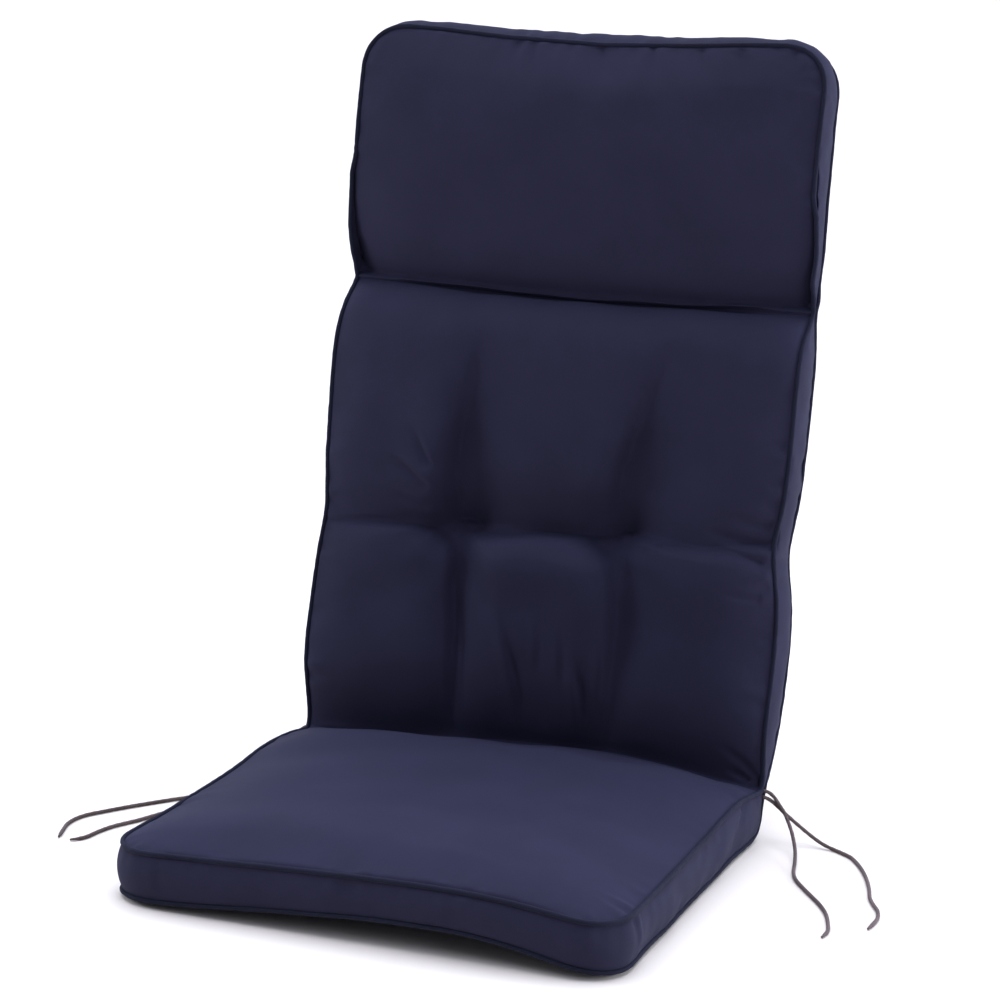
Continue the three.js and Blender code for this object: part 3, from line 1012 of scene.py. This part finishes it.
@dataclass
class Cover:
    """The filled cover: panels and boxing over the filling, drawn in at its tufts and seams."""

    front_seam: ClosedLine
    rear_seam: ClosedLine
    pressure: float = 4.0
    steps: int = 18
    most_moved: float = 3 * MM
    cloth_spare: float = -0.004
    seam_hold: float = 7 * MM
    crease_at: tuple[float, float] = (0.236, 0.525)
    hinge_at: tuple[float, float] = (0.136, 0.072)
    line_hold: float = 14 * MM
    filling_fullness: float = 0.7
    fine_field: tuple[float, float, float] = (0.09, 0.05, 0.40)
    fine_facing: float = 0.3
    calm_facing: tuple[float, float] = (0.3, 0.7)
    back_facing: tuple[float, float] = (0.05, 0.5)
    fold_facing: tuple[float, float] = (0.1, 0.5)
    back_from: float = 0.05
    head_from: tuple[float, float] = (0.56, 0.6)
    seat_top_at: float = 0.1
    seat_until: tuple[float, float] = (0.06, 0.09)
    calm_from_seam: tuple[float, float] = (8 * MM, 30 * MM)
    evening_rounds: int = 16
    deepest: float = 38 * MM
    unevenness: float = 0.6 * MM
    wave_length: float = 95 * MM
    gathers: float = 0.85 * MM
    gather_length: float = 15 * MM
    bunch_length: float = 120 * MM
    gather_from: float = 5 * MM
    gather_to: float = 22 * MM
    seam_still: float = 4 * MM
    resting: float = 1.2 * MM
    surface: BVHTree | None = None

    def build(self) -> bpy.types.Object:
        """Builds the filled cover.

        Returns:
            The piece.
        """
        piece = copy_of_node("cushion", "cushion_cover")
        apply_modifier(piece, "SUBSURF", levels=1, render_levels=1)
        self._fill(piece)
        apply_modifier(piece, "SUBSURF", levels=1, render_levels=1)
        self._calm(piece)
        self._refine(piece)
        self._shape(piece)
        select_only(piece)
        bpy.ops.object.shade_smooth()
        weave_map(piece)
        piece.data.materials.append(COVER_CLOTH.material())
        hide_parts("cushion")
        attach(piece, BODY)
        faces = [polygon.vertices[:] for polygon in piece.data.polygons]
        self.surface = BVHTree.FromPolygons(points_of(piece).tolist(), faces)
        return piece

    def _held(self, points: np.ndarray) -> np.ndarray:
        """Tells which points are sewn, tufted or pressed on the floor, and so stay put."""
        held = points[:, 2] < self.resting
        for seam in (self.front_seam, self.rear_seam):
            held |= seam.nearest(points)[0] < self.seam_hold
        for y, z in (self.crease_at, self.hinge_at):
            held |= np.hypot(points[:, 1] - y, points[:, 2] - z) < self.line_hold
        for tuft in TUFTS:
            held |= np.hypot(points[:, 0] - tuft.x * MM, points[:, 2] - tuft.z * MM) < self.line_hold
        return held

    def _fill(self, piece: bpy.types.Object) -> None:
        """Presses the filling out against the cloth with a simulation, and applies its result.

        Args:
            piece: The cover's mesh, before its last subdivision.
        """
        before = points_of(piece)
        held = piece.vertex_groups.new(name="held")
        held.add(np.flatnonzero(self._held(before)).tolist(), 1.0, "REPLACE")
        select_only(piece)
        filling = piece.modifiers.new("Filling", "CLOTH")
        cloth = filling.settings
        cloth.quality = 4
        cloth.mass = 0.2
        cloth.use_pressure = True
        cloth.uniform_pressure_force = self.pressure
        cloth.effector_weights.gravity = 0
        cloth.vertex_group_mass = held.name
        cloth.shrink_min = self.cloth_spare
        cloth.tension_stiffness = 15
        cloth.compression_stiffness = 6
        cloth.shear_stiffness = 5
        cloth.bending_stiffness = 0.2
        filling.collision_settings.use_collision = False
        filling.collision_settings.use_self_collision = False
        for step in range(1, self.steps + 1):
            bpy.context.scene.frame_set(step)
        bpy.ops.object.modifier_apply(modifier=filling.name)
        bpy.context.scene.frame_set(1)
        moved = points_of(piece) - before
        far = np.linalg.norm(moved, axis=1)
        log.info("filling: moved %.1f mm at most, %.1f mm in the mean", far.max() / MM, far.mean() / MM)
        share = np.minimum(1, self.most_moved / np.maximum(far, 1e-9))
        put_points(piece, before + moved * share[:, None])

    def _refine(self, piece: bpy.types.Object) -> None:
        """Divides the faces of the back's front once more, where the small folds are.

        Args:
            piece: The cover's mesh.
        """
        mesh = piece.data
        centres = vectors_of(mesh.polygons, "center")
        front, bottom, top = self.fine_field
        chosen = vectors_of(mesh.polygons, "normal") @ Panel.BACK.outward > self.fine_facing
        chosen &= (centres[:, 1] > front) & (centres[:, 2] > bottom) & (centres[:, 2] < top)
        select_only(piece)
        bpy.context.tool_settings.mesh_select_mode = (False, False, True)
        mesh.vertices.foreach_set("select", np.zeros(len(mesh.vertices), dtype=bool))
        mesh.edges.foreach_set("select", np.zeros(len(mesh.edges), dtype=bool))
        mesh.polygons.foreach_set("select", chosen)
        bpy.ops.object.mode_set(mode="EDIT")
        bpy.ops.mesh.subdivide(number_cuts=1)
        bpy.ops.mesh.vertices_smooth(factor=0.5, repeat=2)
        bpy.ops.object.mode_set(mode="OBJECT")

    def _evened(self, piece: bpy.types.Object, values: np.ndarray, share: np.ndarray) -> np.ndarray:
        """Evens values out over a mesh, each point towards the mean of those beside it.

        Args:
            piece: The mesh object.
            values: A number, or a row of them, for each vertex.
            share: How far each vertex goes towards the mean, from 0 to 1.

        Returns:
            The evened values.
        """
        mesh = piece.data
        ends = np.empty(len(mesh.edges) * 2, dtype=np.int64)
        mesh.edges.foreach_get("vertices", ends)
        first, second = ends.reshape(-1, 2).T
        beside = np.bincount(ends, minlength=len(mesh.vertices))
        count = len(values)
        columns = values.reshape(count, -1).copy()
        for _ in range(self.evening_rounds):
            for column in columns.T:
                total = np.bincount(first, column[second], count)
                total += np.bincount(second, column[first], count)
                column += share * (total / beside - column)
        return columns.reshape(values.shape)

    def _calm(self, piece: bpy.types.Object) -> None:
        """Evens out the head's front and the seat's top, which are smooth between their seams.

        Args:
            piece: The cover's mesh.
        """
        points, ways = points_of(piece), normals_of(piece)
        from_seam = np.minimum(self.front_seam.nearest(points)[0], self.rear_seam.nearest(points)[0])
        head = ease(ways @ Panel.BACK.outward, *self.calm_facing) * ease(points[:, 2], *self.head_from)
        seat = ease(ways @ Panel.SEAT.outward, *self.calm_facing) * (points[:, 2] < self.seat_top_at)
        seat *= 1 - ease(points[:, 1], *self.seat_until)
        share = (head + seat) * ease(from_seam, *self.calm_from_seam)
        put_points(piece, self._evened(piece, points, share))

    def _shape(self, piece: bpy.types.Object) -> None:
        """Draws the cloth in and lets it swell, fold by fold, as the photograph shows.

        Args:
            piece: The cover's mesh.
        """
        points, ways = points_of(piece), normals_of(piece)
        shaped = points.copy()
        upright = ease(ways @ Panel.BACK.outward, *self.back_facing) * (points[:, 1] > self.back_from)
        back, crisp = np.zeros(len(points)), np.zeros(len(points))
        for tuft in TUFTS:
            back += tuft.lift(points)
        for fold in (*LOBES, *VALLEYS, HEAD_UNDERSIDE):
            lift, edge = fold.lift(points)
            back += lift
            crisp = np.maximum(crisp, edge)
        back = np.where(back < 0, self.deepest * np.tanh(back / self.deepest), back)
        back = self._evened(piece, back, 1 - crisp)
        shaped += (back * upright)[:, None] * Panel.BACK.outward
        for fold in WRINKLES:
            facing = ease(ways @ fold.panel.outward, *self.fold_facing)
            shaped += (fold.lift(points)[0] * facing)[:, None] * fold.panel.outward
        free = ease(points[:, 2], self.resting, 5 * self.resting)
        lift = self.unevenness * Unevenness(WAVE_SEED, self.wave_length).at(points)
        for number, seam in enumerate((self.front_seam, self.rear_seam)):
            distance, nearest = seam.nearest(points)
            gather = Unevenness(GATHER_SEED + number, self.gather_length).at(seam.points)
            gather *= 0.5 + 0.5 * Unevenness(BUNCH_SEED + number, self.bunch_length).at(seam.points)
            beside = (1 - bell(distance, self.gather_from)) * bell(distance, self.gather_to)
            lift += self.gathers * gather[nearest] * beside
            lift *= 1 - bell(distance, self.seam_still)
        shaped += (lift * free)[:, None] * ways
        shaped[:, 2] = np.maximum(shaped[:, 2], 0)
        put_points(piece, shaped)


@dataclass
class Piping:
    """A cord of piping along one seam, covered with a strip of the cover's cloth coloured darker, as painted
    shade in the seam.
    """

    name: str
    node: str
    line: ClosedLine
    cover: Cover
    sunk: float = 1.2 * MM
    roundness: int = 3
    ring_step: float = 3 * MM
    settling: int = 7
    swelling: float = 0.04
    swelling_length: float = 9 * MM

    def _settled(self, line: ClosedLine) -> np.ndarray:
        """Moves the line on to the cover, so that the piping sits in its seam.

        Args:
            line: The seam's line.

        Returns:
            The piping's middle line.
        """
        toward = np.zeros_like(line.points)
        for number, point in enumerate(line.points):
            spot = self.cover.surface.find_nearest(Vector(point))[0]
            inward = np.array(spot) - point
            distance = np.linalg.norm(inward)
            wanted = distance - (PIPING_RADIUS - self.sunk)
            toward[number] = inward / distance * wanted
        window = np.ones(self.settling) / self.settling
        half = self.settling // 2
        around = np.vstack([toward[-half:], toward, toward[:half]])
        smooth = [np.convolve(around[:, axis], window, mode="valid") for axis in range(3)]
        return line.points + np.stack(smooth, axis=1)

    def build(self) -> bpy.types.Object:
        """Builds the piping as a round curve along its seam, made a mesh.

        Returns:
            The piece.
        """
        middle = self._settled(ClosedLine(self.line.points, self.ring_step))
        middle[:, 2] = np.maximum(middle[:, 2], PIPING_RADIUS)
        curve = bpy.data.curves.new(self.name, "CURVE")
        curve.dimensions = "3D"
        curve.bevel_depth = PIPING_RADIUS
        curve.bevel_resolution = self.roundness
        spline = curve.splines.new("POLY")
        spline.points.add(len(middle) - 1)
        spline.use_cyclic_u = True
        radii = 1 + self.swelling * Unevenness(PIPING_SEED, self.swelling_length).at(middle)
        for point, place, radius in zip(spline.points, middle, radii):
            point.co = (*place, 1)
            point.radius = radius
        piece = add_object(self.name, curve)
        select_only(piece)
        bpy.ops.object.convert(target="MESH")
        piece = bpy.context.object
        bpy.ops.object.shade_smooth()
        weave_map(piece)
        piece.data.materials.clear()
        # The piping's darker cloth is painted shade along its seam.
        piece.data.materials.append(PIPING_CLOTH_PAINTED_SHADE.material())
        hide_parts(self.node)
        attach(piece, BODY)
        return piece


BRAID = ClothFinish(
    "tie_braid", dark=(0.06, 0.045, 0.04), light=(0.16, 0.12, 0.11), sheen=0.1, threads=1500.0
)

# The tie ends' routes in millimetres, with the hinge's middle at the origin, as they lie. Places with
# two numbers are on the floor, at the height LYING
HINGE_AT = (2.247, 140.187)
EXIT = 251.5
LYING = 2.0
ROUTES = {
    "tie_right_a": [
        (EXIT, 7.5, 50.5), (EXIT + 3, 7.5, 50.4), (258, 7.8, 49.2), (262.8, 7.5, 45.8),
        (267, 6.2, 41.5), (271.5, 4, 37), (277, 0.6, 31.8), (283.2, -6, 24.5), (290.4, -17.4, 17),
        (299, -38.5, 9.8), (305, -60, 5), (311, -87, 2.3), (318.7, -106.6), (331, -126.4), (345, -147),
        (358, -166.6), (370, -190), (378.8, -217), (382.6, -234), (381.7, -251),
    ],
    "tie_right_b": [
        (EXIT, 5, 44.8), (EXIT + 3, 5, 44.6), (258, 6.2, 43), (262.5, 7.4, 40), (267.5, 8.2, 35.8),
        (273.8, 9, 30.5), (284, 9, 23), (300, 8, 12.6), (313.6, 4.8, 6), (323.8, 2.2, 3), (331, -0.5),
        (341, -7.5), (352.2, -17.5), (367, -42), (379.4, -70), (389, -98), (396.7, -126), (404, -143),
        (412.3, -160), (416.8, -182), (415.3, -211),
    ],
    "tie_left_a": [
        (-EXIT, 7.5, 50.5), (-EXIT - 3, 7.4, 50.3), (-258, 5.8, 48.6), (-263, 2, 44.5), (-269, -6, 37),
        (-276, -18, 28), (-284, -36, 18.5), (-294, -60, 10), (-304, -86, 4.5), (-313, -110, 2.3),
        (-323, -134), (-334, -149), (-344, -163), (-362, -189), (-379, -217), (-388, -233),
        (-392.2, -250), (-391.5, -268), (-387, -284), (-380, -306),
    ],
    "tie_left_b": [
        (-EXIT, 5, 44.8), (-EXIT - 3, 4.9, 44.6), (-258, 2.6, 42.6), (-262.5, -2, 38.5),
        (-267, -12, 32), (-272, -28, 24), (-278, -50, 15.5), (-285, -76, 8.5), (-292.5, -104, 3.8),
        (-300, -130, 2.3), (-309, -158), (-316, -177), (-321.6, -191), (-333, -223), (-341, -240),
        (-348, -256), (-352.5, -275), (-355, -294), (-359, -303), (-365, -310),
    ],
}
LENGTHS = {"tie_right_a": 0.318, "tie_right_b": 0.328, "tie_left_a": 0.367, "tie_left_b": 0.348}


def in_frame(route: list[tuple[float, ...]]) -> list[tuple[float, float, float]]:
    """Moves a route from the hinge's millimetres to the frame's metres."""
    places = [(*place, LYING)[:3] for place in route]
    return [((x + HINGE_AT[0]) * MM, (y + HINGE_AT[1]) * MM, z * MM) for x, y, z in places]


def main() -> None:
    """Builds the studio and every piece in order."""
    logging.basicConfig(level=logging.INFO, format="%(message)s")
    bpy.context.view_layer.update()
    studio = Studio()
    studio.add_camera()
    pieces = []
    for name, route in ROUTES.items():
        pieces.append(TieEnd(f"{name}_cord", in_frame(route), LENGTHS[name]).build())
    front_seam, rear_seam = line_of_piping("piping_front"), line_of_piping("piping_rear")
    cover = Cover(front_seam, rear_seam)
    pieces.append(cover.build())
    pieces.append(Piping("front_piping", "piping_front", front_seam, cover).build())
    pieces.append(Piping("rear_piping", "piping_rear", rear_seam, cover).build())
    for piece in pieces:
        log.info("%s: %d faces", piece.name, len(piece.data.polygons))
    studio.dress()


if __name__ == "__main__":
    main()
